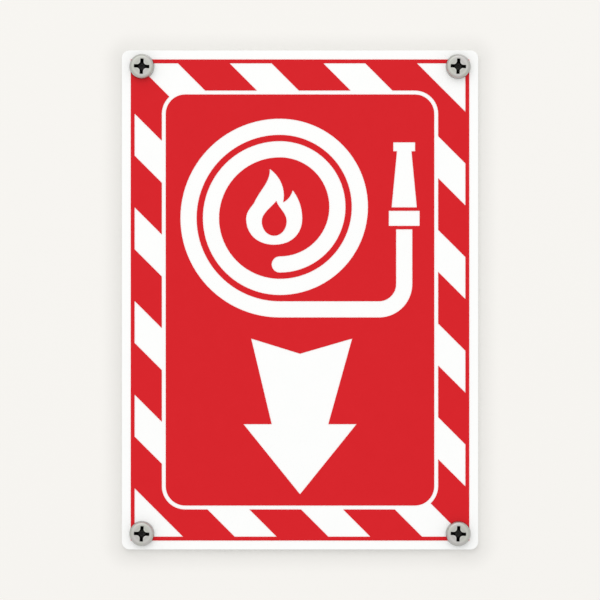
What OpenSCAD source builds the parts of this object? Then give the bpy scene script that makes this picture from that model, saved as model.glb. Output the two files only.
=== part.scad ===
// Wall sign: a white plastic plate with a red print, held by four pan-head screws.
// Origin at the centre of the plate's back face. +Z is up, +X is right as seen from
// the front, the front faces -Y and the screws run towards +Y into the wall.

/* [Plate] */
// Width of the plate
plate_w = 127; // [110:1:200]
// Height of the plate
plate_h = 177.8; // [155:0.1:280]
// Thickness of the plate
plate_t = 2; // [1:0.1:4]
// Radius of the plate's corners
plate_corner_r = 2.75; // [1:0.05:8]

/* [Striped band] */
// Thickness of the printed film
print_t = 0.15; // [0.1:0.01:0.4]
// White margin from the plate's edge to the print
margin = 3.2; // [1:0.1:5]
// Width of the thin line along the print's edge
edge_line_w = 1.35; // [0.5:0.05:3]
// Width of the band, from the print's edge to the white line round the panel
band_w = 11.05; // [8:0.05:14]
// Width of a white stripe, measured across it
stripe_w = 10.6; // [4:0.1:16]
// Distance from one white stripe to the next, measured across them
stripe_pitch = 23.6; // [18:0.1:40]
// Slope of the stripes, falling to the right
stripe_angle = 45; // [30:1:60]

/* [Panel] */
// Width of the white line round the panel
frame_line_w = 1.42; // [0.6:0.02:3]
// Radius of the panel's corners
panel_corner_r = 6.9; // [2:0.1:12]
// Gap from the pictogram to the panel's upper edge
pictogram_top_gap = 8.6; // [2:0.1:14]
// Gap from the pictogram to the panel's side edges
pictogram_side_gap = 5.2; // [2:0.1:8]

/* [Arrow] */
// Gap from the arrow's tip to the panel's lower edge
arrow_tip_gap = 4; // [1:0.1:10]
// Gap from the top of the arrow's tail to the pictogram
arrow_tail_gap = 7.5; // [2:0.1:12]
// Height of the arrow's head
arrow_head_h = 25; // [15:0.1:30]
// Width of the arrow's head
arrow_head_w = 40.3; // [30:0.1:60]
// Width of the tail where it meets the head
arrow_neck_w = 20.2; // [10:0.1:28]
// Width of the tail at its top
arrow_tail_w = 36; // [22:0.1:50]
// Lean of the tail: how far its top lies to the right of the arrow's middle
arrow_tail_lean = 0.6; // [-2:0.1:2]
// Depth of the notch in the tail's top
arrow_notch = 5.4; // [0.5:0.1:10]

/* [Hose] */
// Half turns of hose in the coil
coil_half_turns = 4; // [2:1:4]
// Width of the hose
hose_w = 5.8; // [4:0.1:7]
// Gap between two turns of the hose
hose_gap = 2.2; // [1.2:0.1:2.8]
// Radius of the bend below the nozzle, along the hose's middle
bend_r = 9; // [5:0.5:14]
// Depth of the hose's upper end below the coil's middle
hose_end_depth = 4; // [0:0.5:10]

/* [Nozzle] */
// Gap between the coil and the collar
nozzle_gap = 7.4; // [3:0.1:10]
// Gap below and above the collar
collar_gap = 1.2; // [0.6:0.1:2]
// Width of the collar
collar_w = 11; // [8:0.1:14]
// Height of the collar
collar_h = 5.4; // [3:0.1:8]
// Length of the nozzle's taper
nozzle_h = 20; // [10:0.5:24]
// Width of the nozzle at the collar
nozzle_base_w = 9; // [6:0.1:11]
// Width of the nozzle below its lip
nozzle_tip_w = 5.2; // [3:0.1:6]
// Width of the nozzle's lip
lip_w = 7.8; // [6:0.1:10]
// Height of the nozzle's lip
lip_h = 3.2; // [1:0.1:4]

/* [Flame] */
// Gap above and below the flame in the coil's open middle
flame_gap = 4.1; // [2:0.1:6]
// Width of the flame as a share of its height
flame_slimness = 0.74; // [0.5:0.01:0.9]

/* [Screws] */
// Distance from the plate's side edge to a screw's axis
screw_inset_side = 7.15; // [6:0.05:12]
// Distance from the plate's upper or lower edge to a screw's axis
screw_inset_end = 5.7; // [5:0.1:12]
// Diameter over the thread
thread_d = 4.2; // [3.6:0.1:5]
// Play of the thread in the plate's hole, over the whole diameter
hole_play = 0.4; // [0.2:0.05:0.6]
// Diameter of the plain neck between the head and the thread
neck_d = 3.4; // [2.4:0.1:4]
// Length of the screw, from under the head to the point's tip
screw_l = 25; // [15:1:50]
// Length of the point
point_l = 5; // [3:0.5:9]
// Diameter of the head
head_d = 8.6; // [8:0.1:12]
// Height of the head
head_h = 3; // [2.8:0.1:5]
// Radius of the head's rounded upper edge
head_round_r = 1; // [0.4:0.1:1.6]

/* [Cross recess] */
// Width across two opposite wings at the top of the head
recess_w = 5.4; // [4.4:0.1:6.4]
// Depth of the wings
recess_depth = 2.4; // [1:0.1:2.8]
// Width of a wing
wing_w = 1.15; // [0.7:0.01:1.6]
// Radius of the hollow corner between two wings
recess_corner_r = 1.05; // [0.2:0.05:1.6]
// Slope of the wings' ends, from the screw's axis
wing_slope = 26.5; // [10:0.5:30]
// Turn of the recess, clockwise as seen from the front
recess_turn = 3.4; // [0:0.1:90]

/* [Hidden] */

// Facets round a circle of the plate and the print, and round a screw
$fn = 96;
screw_facets = 40;

plate_white = [0.99, 0.99, 0.98];
print_red = [0.85, 0.15, 0.17];
screw_grey = [0.77, 0.79, 0.75];

// Overlap that lets a cut pass clear through a face
cut_past = 1;

print_w = plate_w - 2 * margin;
print_h = plate_h - 2 * margin;
frame_w = print_w - 2 * band_w;
frame_h = print_h - 2 * band_w;
panel_w = frame_w - 2 * frame_line_w;
panel_h = frame_h - 2 * frame_line_w;

screw_x = plate_w / 2 - screw_inset_side;
screw_z = plate_h / 2 - screw_inset_end;
hole_d = thread_d + hole_play;

// The screw's neck is as long as what it passes through
neck_l = plate_t + print_t;

// The coil's hose is a chain of half rings, each one smaller by half a turn's pitch,
// about two centres on one upright line, so that they join smoothly. The coil takes
// the width that the nozzle leaves on the panel
coil_pitch = hose_w + hose_gap;
pictogram_w = panel_w - 2 * pictogram_side_gap;
coil_r = (pictogram_w - collar_w - nozzle_gap + coil_pitch / 2) / 2;
hose_path_r = coil_r - hose_w / 2;
function half_turn_r(i) = hose_path_r - i * coil_pitch / 2;
function half_turn_rise(i) = i % 2 * coil_pitch / 2;
function half_turn_side(i) = i % 2 == 0 ? -1 : 1;
last_turn = coil_half_turns - 1;

// Places in the pictogram are measured from the coil's middle
nozzle_x = coil_r - coil_pitch / 2 + nozzle_gap + collar_w / 2;
pictogram_x = coil_r - pictogram_w / 2;
pictogram_z = panel_h / 2 - pictogram_top_gap - coil_r;

// The flame fills the height of the coil's open middle, and the arrow what is left
// of the panel below the coil
flame_h = 2 * (half_turn_r(last_turn) - hose_w / 2 - flame_gap);
flame_w = flame_h * flame_slimness;
arrow_h = panel_h - pictogram_top_gap - 2 * coil_r - arrow_tail_gap - arrow_tip_gap;

// Outlines of the flame and of the tongue in it for a flame with a width and a height
// of 1, as closed chains of cubic curves: a point, two control points, the next point
curve_steps = 10;
flame_chain = [
    [0, 0], [0.3, 0], [0.5, 0.14],
    [0.5, 0.34], [0.5, 0.48], [0.45, 0.6],
    [0.33, 0.72], [0.3, 0.65], [0.25, 0.59],
    [0.16, 0.56], [0.21, 0.72], [0.12, 0.9],
    [-0.08, 1], [-0.06, 0.83], [-0.27, 0.71],
    [-0.36, 0.55], [-0.43, 0.48], [-0.5, 0.43],
    [-0.5, 0.34], [-0.5, 0.14], [-0.3, 0]
];
tongue_chain = [
    [0, 0.12], [0.13, 0.12], [0.22, 0.21],
    [0.22, 0.31], [0.22, 0.43], [0.07, 0.48],
    [0.04, 0.58], [-0.05, 0.49], [-0.22, 0.42],
    [-0.22, 0.31], [-0.22, 0.21], [-0.13, 0.12]
];

// Point on the cubic curve of the four points p, at t from 0 to 1
function on_curve(p, t) =
    p[0] * pow(1 - t, 3)
    + p[1] * 3 * t * pow(1 - t, 2)
    + p[2] * 3 * pow(t, 2) * (1 - t)
    + p[3] * pow(t, 3);

// Closed outline along a chain of cubic curves, stretched to the flame's size
function flame_outline(chain) = [
    for (i = [0 : 3 : len(chain) - 3], k = [0 : curve_steps - 1])
        let (p = on_curve([for (j = [i : i + 3]) chain[j % len(chain)]], k / curve_steps))
        [p.x * flame_w, p.y * flame_h]
];

// Flat layer of the sign: its back lies this far in front of the wall
module layer(back, thickness) {
    rotate([90, 0, 0])
        translate([0, 0, back])
            linear_extrude(thickness)
                children();
}

module rounded_rectangle(width, height, r) {
    square([width - 2 * r, height], center = true);
    square([width, height - 2 * r], center = true);
    for (x = [-1, 1], z = [-1, 1])
        translate([x * (width / 2 - r), z * (height / 2 - r)])
            circle(r);
}

module screw_holes() {
    for (x = [-1, 1], z = [-1, 1])
        translate([x * screw_x, z * screw_z])
            circle(d = hole_d);
}

module sign_plate() {
    color(plate_white)
        layer(0, plate_t)
            difference() {
                rounded_rectangle(plate_w, plate_h, plate_corner_r);
                screw_holes();
            }
}

// Sloping stripes over the whole print, one through its centre
module stripes() {
    diagonal = norm([print_w, print_h]);
    side_count = ceil(diagonal / 2 / stripe_pitch);
    rotate(-stripe_angle)
        for (i = [-side_count : side_count])
            translate([0, i * stripe_pitch])
                square([diagonal, stripe_w], center = true);
}

module border_print() {
    color(print_red)
        layer(plate_t, print_t)
            difference() {
                square([print_w, print_h], center = true);
                rounded_rectangle(frame_w, frame_h, panel_corner_r + frame_line_w);
                intersection() {
                    square([print_w - 2 * edge_line_w, print_h - 2 * edge_line_w], center = true);
                    stripes();
                }
                screw_holes();
            }
}

// Downward arrow with its tip at the origin
module arrow() {
    polygon([
        [0, 0],
        [arrow_head_w / 2, arrow_head_h],
        [arrow_neck_w / 2, arrow_head_h],
        [arrow_tail_lean + arrow_tail_w / 2, arrow_h],
        [0, arrow_h - arrow_notch],
        [arrow_tail_lean - arrow_tail_w / 2, arrow_h],
        [-arrow_neck_w / 2, arrow_head_h],
        [-arrow_head_w / 2, arrow_head_h]
    ]);
}

// Piece of a ring of hose on one side of its upright axis: the lower half of that
// side, or all of it
module hose_ring(r, x_side, whole) {
    reach = r + hose_w;
    intersection() {
        difference() {
            circle(r + hose_w / 2);
            circle(r - hose_w / 2);
        }
        translate([x_side < 0 ? -reach : 0, -reach])
            square([reach, whole ? 2 * reach : reach]);
    }
}

module hose_coil() {
    for (i = [0 : last_turn])
        translate([0, half_turn_rise(i)])
            hose_ring(half_turn_r(i), half_turn_side(i), true);
    translate([0, half_turn_rise(last_turn) - half_turn_side(last_turn) * half_turn_r(last_turn)])
        circle(d = hose_w);
}

// Hose from the coil's foot, round the bend and up to the collar
module hose_lead() {
    bend_x = nozzle_x - bend_r;
    bend_z = bend_r - hose_path_r;
    translate([0, -coil_r])
        square([bend_x, hose_w]);
    translate([bend_x, bend_z])
        hose_ring(bend_r, 1, false);
    translate([nozzle_x - hose_w / 2, bend_z])
        square([hose_w, -hose_end_depth - bend_z]);
}

module nozzle() {
    taper_start = collar_h + 2 * collar_gap;
    translate([nozzle_x, -hose_end_depth]) {
        translate([-collar_w / 2, collar_gap])
            square([collar_w, collar_h]);
        polygon([
            [-nozzle_base_w / 2, taper_start],
            [nozzle_base_w / 2, taper_start],
            [nozzle_tip_w / 2, taper_start + nozzle_h],
            [-nozzle_tip_w / 2, taper_start + nozzle_h]
        ]);
        translate([-lip_w / 2, taper_start + nozzle_h])
            square([lip_w, lip_h]);
    }
}

// Flame in the coil's open middle, with a tongue of print left in it
module flame() {
    translate([-coil_pitch / 4, half_turn_rise(last_turn) - flame_h / 2])
        difference() {
            polygon(flame_outline(flame_chain));
            polygon(flame_outline(tongue_chain));
        }
}

module panel_print() {
    color(print_red)
        layer(plate_t, print_t)
            difference() {
                rounded_rectangle(panel_w, panel_h, panel_corner_r);
                translate([0, arrow_tip_gap - panel_h / 2])
                    arrow();
                translate([pictogram_x, pictogram_z]) {
                    hose_coil();
                    hose_lead();
                    nozzle();
                    flame();
                }
            }
}

// Four wings with hollow corners between them, at their full width
module wing_outline() {
    corner = wing_w / 2 + recess_corner_r;
    square([recess_w, wing_w], center = true);
    square([wing_w, recess_w], center = true);
    difference() {
        square(2 * corner, center = true);
        for (x = [-1, 1], y = [-1, 1])
            translate([x * corner, y * corner])
                circle(recess_corner_r);
    }
}

// Cross recess: the wings narrow with depth, and a drilled pit lies at their foot
module cross_recess() {
    foot_r = recess_w / 2 - recess_depth * tan(wing_slope);
    pit_depth = foot_r / 2;
    rotate(-recess_turn)
        translate([0, 0, head_h - recess_depth]) {
            intersection() {
                linear_extrude(recess_depth + cut_past)
                    wing_outline();
                cylinder(
                    h = recess_depth + cut_past,
                    r1 = foot_r,
                    r2 = foot_r + (recess_depth + cut_past) * tan(wing_slope)
                );
            }
            translate([0, 0, -pit_depth])
                cylinder(h = pit_depth, r1 = 0, r2 = wing_w / 2);
        }
}

// Head standing on the seat plane, with its flat top and rounded upper edge
module pan_head() {
    flat_r = head_d / 2 - head_round_r;
    rotate_extrude()
        union() {
            square([flat_r, head_h]);
            square([head_d / 2, head_h - head_round_r]);
            intersection() {
                translate([flat_r, head_h - head_round_r])
                    circle(head_round_r);
                square([head_d, head_h]);
            }
        }
}

// Plain blank from the head's seat to the point, with the thread rolled on below the neck
module shank() {
    translate([0, 0, point_l - screw_l]) {
        cylinder(h = screw_l - point_l, d = neck_d);
        cylinder(h = screw_l - point_l - neck_l, d = thread_d);
    }
    translate([0, 0, -screw_l])
        cylinder(h = point_l, r1 = 0, r2 = thread_d / 2);
}

// Pan-head screw with its head's seat at the origin and its point below
module pan_head_screw() {
    $fn = screw_facets;
    difference() {
        union() {
            pan_head();
            shank();
        }
        cross_recess();
    }
}

// Screw in one corner, seated on the print: x_side and z_side are -1 or 1
module corner_screw(x_side, z_side) {
    color(screw_grey)
        translate([x_side * screw_x, -plate_t - print_t, z_side * screw_z])
            rotate([90, 0, 0])
                pan_head_screw();
}

sign_plate();
border_print();
panel_print();
corner_screw(-1, 1);  // screw_top_left
corner_screw(1, 1);  // screw_top_right
corner_screw(-1, -1);  // screw_bottom_left
corner_screw(1, -1);  // screw_bottom_right
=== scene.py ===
import math

import bmesh
import bpy
from mathutils import Matrix, Vector


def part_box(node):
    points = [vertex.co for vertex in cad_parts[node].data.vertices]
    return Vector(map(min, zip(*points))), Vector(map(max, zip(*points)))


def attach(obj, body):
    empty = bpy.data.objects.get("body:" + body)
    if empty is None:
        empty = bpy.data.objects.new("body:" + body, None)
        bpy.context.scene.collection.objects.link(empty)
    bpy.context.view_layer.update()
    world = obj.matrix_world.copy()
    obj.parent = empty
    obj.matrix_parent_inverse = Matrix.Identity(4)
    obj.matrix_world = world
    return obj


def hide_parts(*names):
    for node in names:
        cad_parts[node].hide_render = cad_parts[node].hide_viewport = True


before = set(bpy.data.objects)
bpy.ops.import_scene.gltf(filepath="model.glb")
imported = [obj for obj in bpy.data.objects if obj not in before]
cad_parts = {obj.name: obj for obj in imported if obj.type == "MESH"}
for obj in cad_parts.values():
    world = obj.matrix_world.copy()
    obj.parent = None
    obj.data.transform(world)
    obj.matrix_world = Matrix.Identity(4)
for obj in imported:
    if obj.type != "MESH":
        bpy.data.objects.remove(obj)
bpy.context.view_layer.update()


# White plate: a rigid sheet of white plastic, cut to size with rounded corners and drilled
# for a screw in each corner. Its faces are smooth and satin, the cut edge is rougher and is
# painted a little darker as painted shade, and all sharp edges are slightly broken so that
# they don't catch a hand.
plate_low, plate_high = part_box("sign_plate")
screw_low, screw_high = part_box("screw_top_right")
screw_x = (screw_low.x + screw_high.x) / 2
screw_z = (screw_low.z + screw_high.z) / 2
head_r = (screw_high.x - screw_low.x) / 2
edge_break = 0.00018
edge_break_steps = 3
merge_gap = 0.000001

# Widths and depths of the marks on the plate, and the screen colours of what they show
wave_w = 0.03
wave_depth = 0.00003
pore_w = 0.0005
pore_depth = 0.000004
gloss_patch_w = 0.0012
tired_patch_w = 0.009
drag_line_w = 0.0015
rub_w = 0.004
saw_line_w = 0.00025
saw_line_depth = 0.00004
# How far the painted shade round each screw head reaches
head_shade_reach = 0.0003
clean_plastic = (254, 254, 253)
tired_plastic = (251, 252, 251)
marked_back = (226, 227, 223)
# The colour of the painted shade on the cut side
cut_side_shade = (234, 236, 233)
# The colour that the painted shade round each screw head gives the white
shade_on_plastic = (70, 66, 62)

# A surface of the plate points along Y by 0 on the cut side and by 1 on a face. The marks
# of the one give way to those of the other between these two values.
cut_side_ends, face_starts = 0.3, 0.7


def screen_colour(red, green, blue):
    """Colour from its screen values, each from 0 to 255, as a shader takes it."""
    shares = [value / 255 for value in (red, green, blue)]
    linear = [s / 12.92 if s <= 0.04045 else ((s + 0.055) / 1.055) ** 2.4 for s in shares]
    return (*linear, 1.0)


class Channel:
    """A socket among a material's nodes. Arithmetic on it adds Math nodes."""

    def __init__(self, tree, socket=None):
        self.tree = tree
        self.socket = socket

    def node(self, kind, settings=None, sockets=None, output=0):
        """Adds a node with its settings, then sets or links its sockets."""
        added = self.tree.nodes.new(kind)
        for name, setting in (settings or {}).items():
            setattr(added, name, setting)
        for name, value in (sockets or {}).items():
            if isinstance(value, Channel):
                self.tree.links.new(value.socket, added.inputs[name])
            else:
                added.inputs[name].default_value = value
        return Channel(self.tree, added.outputs[output]) if added.outputs else None

    def math(self, operation, *values):
        """Adds a Math node that works on the values."""
        return self.node("ShaderNodeMath", {"operation": operation}, dict(enumerate(values)))

    def __add__(self, other):
        return self.math("ADD", self, other)

    def __radd__(self, other):
        return self.math("ADD", other, self)

    def __sub__(self, other):
        return self.math("SUBTRACT", self, other)

    def __rsub__(self, other):
        return self.math("SUBTRACT", other, self)

    def __mul__(self, other):
        return self.math("MULTIPLY", self, other)

    def __rmul__(self, other):
        return self.math("MULTIPLY", other, self)

    def __pow__(self, power):
        return self.math("POWER", self, power)

    def __abs__(self):
        return self.math("ABSOLUTE", self)


def new_material(name):
    """An empty material and the place of a point on the piece that wears it."""
    material = bpy.data.materials.new(name)
    material.use_nodes = True
    material.node_tree.nodes.clear()
    place = Channel(material.node_tree).node("ShaderNodeTexCoord", output="Object")
    return material, place


def along(vector, axes):
    """The vector's parts along the named axes."""
    return [vector.node("ShaderNodeSeparateXYZ", None, {0: vector}, axis) for axis in axes]


def speckle(place, grain, detail=2.0):
    """Noise from 0 to 1 with patches of about the given size."""
    sockets = {"Vector": place, "Scale": 1 / grain, "Detail": detail}
    return place.node("ShaderNodeTexNoise", None, sockets, "Fac")


def stretched(place, x, y, z):
    """Place for a pattern that is stretched along each axis whose number is below 1."""
    sockets = {0: place, 1: (x, y, z)}
    return place.node("ShaderNodeVectorMath", {"operation": "MULTIPLY"}, sockets)


def rise(value, start, end):
    """Goes smoothly from 0 to 1 while the value goes from start to end."""
    sockets = {"Value": value, "From Min": start, "From Max": end}
    return value.node("ShaderNodeMapRange", {"interpolation_type": "SMOOTHSTEP"}, sockets)


def mixed(share, first, second):
    """First colour where the share is 0, second where it is 1."""
    # The Mix node takes its colours at sockets 6 and 7 and gives the mixed one at output 2
    sockets = {0: share, 6: first, 7: second}
    return share.node("ShaderNodeMix", {"data_type": "RGBA"}, sockets, 2)


def relief(height, depth, over=None):
    """Normal of a surface whose height of 0 to 1 stands for the given depth."""
    sockets = {"Height": height, "Distance": depth, "Strength": 1.0}
    if over is not None:
        sockets["Normal"] = over
    return height.node("ShaderNodeBump", None, sockets)


def finish_with(place, sockets):
    """Ends a material in one shader for an opaque surface."""
    shader = place.node("ShaderNodeBsdfPrincipled", None, sockets)
    place.node("ShaderNodeOutputMaterial", None, {"Surface": shader})


def shade_at_heads(x, z):
    """Painted shade in the corner where a screw head stands on the face."""
    from_axis = ((abs(x) - screw_x) ** 2.0 + (abs(z) - screw_z) ** 2.0) ** 0.5
    return 1 - rise(from_axis, head_r, head_r + head_shade_reach)


white_plastic, place = new_material("white_plastic")
x, z = along(place, "XZ")
to_wall = along(place.node("ShaderNodeTexCoord", output="Normal"), "Y")[0]
front = 1 - rise(to_wall, -face_starts, -cut_side_ends)
back = rise(to_wall, cut_side_ends, face_starts)
cut_side = 1 - rise(abs(to_wall), cut_side_ends, face_starts)
drag_lines = speckle(stretched(place, 1, 1, 0.03), drag_line_w, 3.0)
rubs = rise(speckle(stretched(place, 1, 1, 0.3), rub_w, 4.0), 0.5, 0.75)
saw_lines = speckle(stretched(place, 1, 0.05, 1), saw_line_w)
tired = speckle(place, tired_patch_w)
tone = mixed(tired, screen_colour(*clean_plastic), screen_colour(*tired_plastic))
tone = mixed(back * (0.3 * drag_lines + 0.16 * rubs), tone, screen_colour(*marked_back))
# The cut side is painted a little darker, as painted shade, more so along its saw lines
tone = mixed(cut_side * (0.4 + 0.4 * saw_lines), tone, screen_colour(*cut_side_shade))
# Painted shade darkens the white face round each screw head
tone = mixed(front * shade_at_heads(x, z) * 0.55, tone, screen_colour(*shade_on_plastic))
skin = relief(speckle(place, wave_w, 0.0), wave_depth)
skin = relief(speckle(place, pore_w, 3.0), pore_depth, skin)
skin = relief(saw_lines * cut_side, saw_line_depth, skin)
finish_with(place, {
    "Base Color": tone,
    "Roughness": 0.36 + 0.1 * speckle(place, gloss_patch_w) + 0.25 * cut_side,
    "Specular IOR Level": 0.3,
    "Normal": skin,
})

# The copy of the plate's mesh is merged into whole faces before its edges are broken
shape = bmesh.new()
shape.from_mesh(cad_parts["sign_plate"].data)
bmesh.ops.remove_doubles(shape, verts=shape.verts, dist=merge_gap)
bmesh.ops.dissolve_limit(shape, verts=shape.verts, edges=shape.edges, angle_limit=math.radians(1))
inner_edges = [edge for edge in shape.edges if edge.is_manifold]
sharp = [edge for edge in inner_edges if edge.calc_face_angle() > math.radians(60)]
bmesh.ops.bevel(
    shape, geom=sharp, affect="EDGES", offset=edge_break, segments=edge_break_steps,
    profile=0.5, material=-1,
)
plate_mesh = bpy.data.meshes.new("white_plate")
shape.to_mesh(plate_mesh)
shape.free()
plate_mesh.shade_smooth()
plate_mesh.materials.append(white_plastic)
plate = bpy.data.objects.new("white_plate", plate_mesh)
bpy.context.scene.collection.objects.link(plate)
plate.modifiers.new("flat_faces", "WEIGHTED_NORMAL")
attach(plate, "root")
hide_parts("sign_plate")


# Red print: a thin film of red ink, printed on the plate's face in two fields, the striped
# border and the panel with the white arrow and hose left open in it. The ink is even and
# dull, with a faint mottle from the roller.
stipple_w = 0.0007
stipple_depth = 0.000005
mottle_w = 0.006
ink_gloss_w = 0.0015
full_ink = (216, 19, 30)
thin_ink = (213, 16, 27)
# The colour that the painted shade round each screw head gives the ink
shade_on_ink = (60, 8, 10)

red_print, place = new_material("red_print")
x, z = along(place, "XZ")
tone = mixed(speckle(place, mottle_w, 3.0), screen_colour(*full_ink), screen_colour(*thin_ink))
# Painted shade darkens the ink round each screw head
tone = mixed(shade_at_heads(x, z) * 0.7, tone, screen_colour(*shade_on_ink))
skin = relief(speckle(place, wave_w, 0.0), wave_depth)
skin = relief(speckle(place, stipple_w, 3.0), stipple_depth, skin)
finish_with(place, {
    "Base Color": tone,
    "Roughness": 0.42 + 0.12 * speckle(place, ink_gloss_w),
    "Specular IOR Level": 0.18,
    "Normal": skin,
})
for node in ("border_print", "panel_print"):
    print_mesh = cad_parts[node].data
    print_mesh.materials.clear()
    print_mesh.materials.append(red_print)


# Screws: zinc-plated steel with pan heads, cold-headed from wire with a cross recess struck
# into the head, and rolled with a coarse thread that bites into the wall. The recess, a ring
# round it and the thread's roots are painted darker as painted shade. Each one is driven
# through the print and the plate.
head_h = 0.003
head_round_r = 0.001
head_foot_r = 0.0002
neck_r = 0.0017
neck_l = plate_high.y - screw_low.y - head_h
neck_fillet_r = 0.0002
recess_r = 0.0027
recess_depth = 0.0024
recess_lip = 0.0001
wing_half_w = 0.000575
wing_corner_r = 0.00105
wing_slope = math.radians(26.5)
recess_turn = math.radians(3.4)
pit_depth = (recess_r - recess_depth * math.tan(wing_slope)) / 2
# How much painted shade the pit at the bottom of the recess takes
pit_shade = 0.88
screw_l = screw_high.y - screw_low.y - head_h
point_l = 0.005
thread_r = 0.0021
core_r = 0.00145
shoulder_l = 0.0003
thread_pitch = 0.0016
ridge_half_h = 0.00048
ridge_crest_half_h = 0.00006
ridge_sunk = 0.0002
ridge_start_share = 0.15
ridge_end_share = 0.02
ridge_clear = 0.0001
head_segments = 240
thread_segments = 36

# Widths and depths of the marks on the steel, and the screen colours of what they show
dent_w = 0.0009
dent_depth = 0.000005
crystal_w = 0.00012
crystal_depth = 0.000003
tint_patch_w = 0.004
spot_w = 0.0006
zinc_gloss_w = 0.0004
grey_zinc = (191, 190, 190)
green_zinc = (187, 190, 184)
spotted_zinc = (175, 175, 173)
# The colour of the painted shade on a ring round the recess
ring_shade_zinc = (158, 159, 156)
# The colour of the painted shade in the thread's roots
groove_shade_grey = (74, 74, 70)
# The near black of the painted shade in the recess
recess_shade_black = (12, 12, 12)


def wing_reach(angle, end_r):
    """How far the cross recess reaches from its axis in a direction."""
    quarter = math.pi / 2
    turn = abs((angle + quarter / 2) % quarter - quarter / 2)
    corner = wing_half_w + wing_corner_r
    if turn < math.atan2(wing_half_w, corner):
        side = wing_half_w / max(math.sin(turn), 0.001)
    else:
        to_corner = corner * (math.cos(turn) + math.sin(turn))
        side = to_corner - math.sqrt(to_corner ** 2 - 2 * corner ** 2 + wing_corner_r ** 2)
    return min(end_r, side)


def recess_ring(depth, widened=0.0):
    """One level of the recess: its reach for each direction, and its height."""
    end_r = recess_r - depth * math.tan(wing_slope)
    return lambda angle: (wing_reach(angle, end_r) + widened, head_h - depth)


def round_ring(r, height):
    """A plain ring, the same for all directions."""
    return lambda angle: (r, height)


def top_ring(share):
    """A ring on the flat top, from the recess's lip at 0 to the rounding's start at 1."""
    lip = recess_ring(0, recess_lip)
    flat_r = head_r - head_round_r
    return lambda angle: (lip(angle)[0] * (1 - share) + flat_r * share, head_h)


def rounding_ring(degrees):
    """A ring on the head's rounded upper edge, from its flat top at 0 to its side at 90."""
    turn = math.radians(degrees)
    r = head_r - head_round_r * (1 - math.sin(turn))
    return round_ring(r, head_h - head_round_r * (1 - math.cos(turn)))


def foot_ring(degrees):
    """A ring on the head's lower edge, from its side at 0 to its seat at 90."""
    turn = math.radians(degrees)
    r = head_r - head_foot_r * (1 - math.cos(turn))
    return round_ring(r, head_foot_r * (1 - math.sin(turn)))


def screw_shape():
    """Screw along Z with its seat at 0 and its point below, drawn ring by ring from the pit."""
    # Each ring has three marks: how much painted shade it takes in the recess, in a ring round
    # the recess, and in the thread's groove
    shaded, lip, bright, ring_shaded = (1, 0, 0), (0.8, 0, 0), (0, 0, 0), (0, 1, 0)
    # The recess's rings take the painted shade
    rings = [(recess_ring(recess_depth * share), shaded) for share in (1, 0.98, 0.75, 0.5, 0.25, 0.08)]
    # The lip of the recess is rounded in two steps
    rings.append((recess_ring(recess_lip * 0.5, recess_lip * 0.2), shaded))
    rings.append((recess_ring(recess_lip * 0.12, recess_lip * 0.6), lip))
    rings += [(top_ring(share), bright) for share in (0, 0.12)]
    # A ring on the flat top round the recess takes painted shade
    rings += [(top_ring(share), ring_shaded) for share in (0.3, 0.5)]
    rings += [(top_ring(share), bright) for share in (0.75, 0.95)]
    rings += [(rounding_ring(degrees), bright) for degrees in range(0, 91, 9)]
    rings += [(foot_ring(degrees), bright) for degrees in (0, 22.5, 45, 67.5, 90)]
    # The neck's foot and the thread's roots take painted shade
    rings += [(round_ring(r, height), (0, 0, root_shade)) for r, height, root_shade in (
        (neck_r + neck_fillet_r, 0, 0),
        (neck_r + neck_fillet_r / 4, -neck_fillet_r / 4, 0),
        (neck_r, -neck_fillet_r, 0),
        (neck_r, -neck_l, 0.2),
        (core_r, -neck_l - shoulder_l, 1),
        (core_r, point_l - screw_l, 1),
        (core_r * 0.5, point_l / 2 - screw_l, 0.6),
    )]

    body = bmesh.new()
    layers = [body.verts.layers.float.new(name) for name in ("recess", "ring_shade", "groove")]
    shade_layer = layers[0]
    bmesh.ops.create_cone(
        body, segments=head_segments, radius1=0, radius2=wing_half_w, depth=pit_depth,
        matrix=Matrix.Translation((0, 0, head_h - recess_depth - pit_depth / 2)),
    )
    bmesh.ops.remove_doubles(body, verts=body.verts, dist=merge_gap)
    for vert in body.verts:
        vert[shade_layer] = pit_shade
    loop = [edge for edge in body.edges if edge.is_boundary]
    for ring, marks in rings:
        drawn = bmesh.ops.extrude_edge_only(body, edges=loop)["geom"]
        loop = [part for part in drawn if isinstance(part, bmesh.types.BMEdge)]
        for vert in (part for part in drawn if isinstance(part, bmesh.types.BMVert)):
            angle = math.atan2(vert.co.y, vert.co.x)
            reach, height = ring(angle)
            vert.co = (reach * math.cos(angle), reach * math.sin(angle), height)
            for layer, mark in zip(layers, marks):
                vert[layer] = mark
    drawn = bmesh.ops.extrude_edge_only(body, edges=loop)["geom"]
    tip = [part for part in drawn if isinstance(part, bmesh.types.BMVert)]
    bmesh.ops.pointmerge(body, verts=tip, merge_co=(0, 0, -screw_l))
    bmesh.ops.recalc_face_normals(body, faces=body.faces)
    return body


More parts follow.
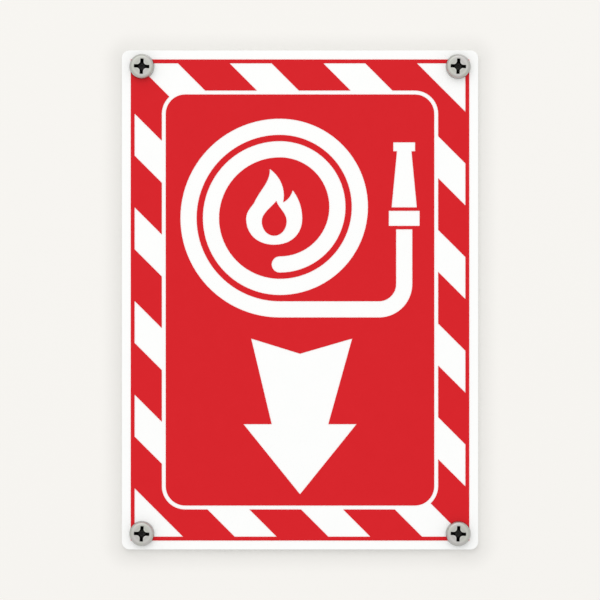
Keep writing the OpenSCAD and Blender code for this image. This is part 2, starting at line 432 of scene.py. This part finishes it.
def thread_shape():
    """The thread's ridge, wound down the core. It grows at the neck and ends at the point."""
    foot_r = core_r - ridge_sunk
    top = -neck_l - ridge_half_h
    length = screw_l + top - ridge_half_h - ridge_clear
    steps = math.floor(length / thread_pitch * thread_segments)
    ridge = bmesh.new()
    groove = ridge.verts.layers.float.new("groove")
    profile = ridge.faces.new([ridge.verts.new((r, 0, top + height)) for r, height in (
        (foot_r, ridge_half_h),
        (thread_r, ridge_crest_half_h),
        (thread_r, -ridge_crest_half_h),
        (foot_r, -ridge_half_h),
    )])
    bmesh.ops.spin(
        ridge, geom=[profile], cent=(0, 0, 0), axis=(0, 0, 1),
        angle=-2 * math.pi * steps / thread_segments,
        dvec=(0, 0, -thread_pitch / thread_segments), steps=steps,
    )
    for vert in ridge.verts:
        r = math.hypot(vert.co.x, vert.co.y)
        started = min(1, max(0, (top - vert.co.z) / thread_pitch))
        grown = ridge_start_share + (1 - ridge_start_share) * started
        narrowed = min(1, max(ridge_end_share, (vert.co.z + screw_l) / point_l))
        wanted = (foot_r + (r - foot_r) * grown) * narrowed
        vert[groove] = 1 if r < core_r else 0
        vert.co.x *= wanted / r
        vert.co.y *= wanted / r
    bmesh.ops.recalc_face_normals(ridge, faces=ridge.faces)
    return ridge


zinc_steel, place = new_material("zinc_steel")
# The recess is painted near black as painted shade, its pit a little lighter
recess_shade = place.node("ShaderNodeAttribute", {"attribute_name": "recess"}, None, "Fac")
ring_shaded = place.node("ShaderNodeAttribute", {"attribute_name": "ring_shade"}, None, "Fac")
groove_shaded = place.node("ShaderNodeAttribute", {"attribute_name": "groove"}, None, "Fac")
tint = rise(speckle(place, tint_patch_w), 0.35, 0.65)
tone = mixed(tint, screen_colour(*grey_zinc), screen_colour(*green_zinc))
tone = mixed(speckle(place, spot_w, 3.0) * 0.3, tone, screen_colour(*spotted_zinc))
# A ring round the recess is painted darker, as painted shade
tone = mixed(ring_shaded * 0.3, tone, screen_colour(*ring_shade_zinc))
# The thread's roots are painted darker, as painted shade
tone = mixed(groove_shaded * 0.85, tone, screen_colour(*groove_shade_grey))
tone = mixed(recess_shade, tone, screen_colour(*recess_shade_black))
skin = relief(speckle(place, dent_w), dent_depth)
skin = relief(speckle(place, crystal_w, 3.0), crystal_depth, skin)
finish_with(place, {
    "Base Color": tone,
    "Metallic": 1.0,
    "Roughness": 0.4 + 0.14 * speckle(place, zinc_gloss_w) + 0.2 * recess_shade,
    "Normal": skin,
})

body = screw_shape()
ridge = thread_shape()
ridge_mesh = bpy.data.meshes.new("ridge")
ridge.to_mesh(ridge_mesh)
ridge.free()
body.from_mesh(ridge_mesh)
bpy.data.meshes.remove(ridge_mesh)
screw_mesh = bpy.data.meshes.new("screw")
body.to_mesh(screw_mesh)
body.free()
screw_mesh.shade_smooth()
screw_mesh.set_sharp_from_angle(angle=math.radians(40))
screw_mesh.materials.append(zinc_steel)
driven = Matrix.Rotation(math.radians(90), 4, "X") @ Matrix.Rotation(-recess_turn, 4, "Z")
for node in ("screw_top_left", "screw_top_right", "screw_bottom_left", "screw_bottom_right"):
    low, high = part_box(node)
    seat = Vector(((low.x + high.x) / 2, low.y + head_h, (low.z + high.z) / 2))
    mesh = screw_mesh.copy()
    mesh.transform(Matrix.Translation(seat) @ driven)
    screw = bpy.data.objects.new(node.replace("screw", "pan_screw"), mesh)
    bpy.context.scene.collection.objects.link(screw)
    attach(screw, "root")
    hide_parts(node)
bpy.data.meshes.remove(screw_mesh)


# Wall and floor: both plain and pale. The sign hangs on the wall, which shows from the
# front only, so that the sign's back can be looked at. Its colour is painted darker towards
# the plate, a painted shadow where the plate keeps the light of the room from it.
wall_colour = (246, 244, 240)
wall_half_w = 1.4
wall_gap = 0.0002
floor_half_w = 12
floor_z = -1.4
shade_reach = 0.0085
shade_depth = 0.14
shade_drop = 0.0008
corner_r = 0.00275


def backdrop(name, half_w, matrix, paint):
    """A flat square of the stage, made level and then put in its place."""
    sheet = bmesh.new()
    bmesh.ops.create_grid(sheet, x_segments=1, y_segments=1, size=half_w)
    sheet.transform(matrix)
    mesh = bpy.data.meshes.new(name)
    sheet.to_mesh(mesh)
    sheet.free()
    mesh.materials.append(paint)
    piece = bpy.data.objects.new(name, mesh)
    bpy.context.scene.collection.objects.link(piece)


def finish_for_camera(place, tone, shown):
    """Ends a material in matt paint that only the camera sees and that light passes."""
    matt = place.node("ShaderNodeBsdfDiffuse", None, {"Color": tone})
    clear = place.node("ShaderNodeBsdfTransparent")
    seen = place.node("ShaderNodeLightPath", output="Is Camera Ray") * shown
    surface = place.node("ShaderNodeMixShader", None, {0: seen, 1: clear, 2: matt})
    place.node("ShaderNodeOutputMaterial", None, {"Surface": surface})


# The painted shadow follows the plate's outline, whose corners are round
wall_paint, place = new_material("wall_paint")
x, z = along(place, "XZ")
past_x = x.math("MAXIMUM", abs(x) - (plate_high.x - corner_r), 0.0)
past_z = z.math("MAXIMUM", abs(z + shade_drop) - (plate_high.z - corner_r), 0.0)
from_plate = (past_x ** 2.0 + past_z ** 2.0) ** 0.5 - corner_r
# The painted shadow of the plate on the wall
shade = shade_depth * (1 - rise(from_plate, -0.25 * shade_reach, shade_reach))
tone = mixed(shade, screen_colour(*wall_colour), (0, 0, 0, 1))
from_front = 1 - place.node("ShaderNodeNewGeometry", output="Backfacing")
finish_for_camera(place, tone, from_front)
upright = Matrix.Rotation(math.radians(90), 4, "X")
backdrop("wall", wall_half_w, Matrix.Translation((0, wall_gap, 0)) @ upright, wall_paint)

floor_paint, place = new_material("floor_paint")
finish_for_camera(place, screen_colour(*wall_colour), 1.0)
backdrop("floor", floor_half_w, Matrix.Translation((0, 0, floor_z)), floor_paint)


# Light: even light from all round, with a very large soft lamp above the front and one
# behind. Together they show a colour about as it is written.
room_light = 0.835
world = bpy.data.worlds.new("room")
world.use_nodes = True
world.node_tree.nodes.clear()
bpy.context.scene.world = world
room = Channel(world.node_tree)

# The camera and the shine on the screws meet the wall's colour, and all else the even light
rays = ("Is Camera Ray", "Is Glossy Ray", "Is Transmission Ray")
looked, mirrored, passed = [room.node("ShaderNodeLightPath", output=ray) for ray in rays]
even = room.node("ShaderNodeBackground", None, {"Color": (1, 1, 1, 1), "Strength": room_light})
pale = room.node("ShaderNodeBackground", None, {"Color": screen_colour(*wall_colour)})
both = room.node("ShaderNodeMixShader", None, {0: looked + mirrored + passed, 1: even, 2: pale})
room.node("ShaderNodeOutputWorld", None, {"Surface": both})


def soft_lamp(name, spot, width, share):
    """A square lamp aimed at the sign that adds the given share of full light to it."""
    lamp = bpy.data.lights.new(name, "AREA")
    lamp.size = width
    away = Vector(spot)
    facing = abs(away.y) / away.length
    # At full energy a matt white face that looks forwards shows as full white
    full_energy = math.pi ** 2 * away.length_squared / facing
    lamp.energy = share * full_energy
    holder = bpy.data.objects.new(name, lamp)
    aim = away.to_track_quat("Z", "Y").to_matrix().to_4x4()
    holder.matrix_world = Matrix.Translation(away) @ aim
    holder.visible_camera = False
    bpy.context.scene.collection.objects.link(holder)


soft_lamp("front_lamp", spot=(-0.5, -3.3, 1.9), width=3.2, share=0.21)
soft_lamp("back_lamp", spot=(1.4, 3.0, 2.4), width=3.0, share=0.18)


# Camera: a long lens straight in front of the sign, as the photograph shows it, with the
# plate as wide in the frame as it is there.
photo_pixels = 600
plate_pixels = 356.4
camera_distance = 2.0
camera = bpy.data.cameras.new("camera")
camera.sensor_width = 36
frame_w = (plate_high.x - plate_low.x) * photo_pixels / plate_pixels
camera.lens = camera.sensor_width * (camera_distance + plate_low.y) / frame_w
camera.clip_end = 20
holder = bpy.data.objects.new("camera", camera)
holder.location = (0, -camera_distance, 0)
holder.rotation_euler = (math.radians(90), 0, 0)
bpy.context.scene.collection.objects.link(holder)
bpy.context.scene.camera = holder
bpy.context.scene.view_settings.view_transform = "Standard"
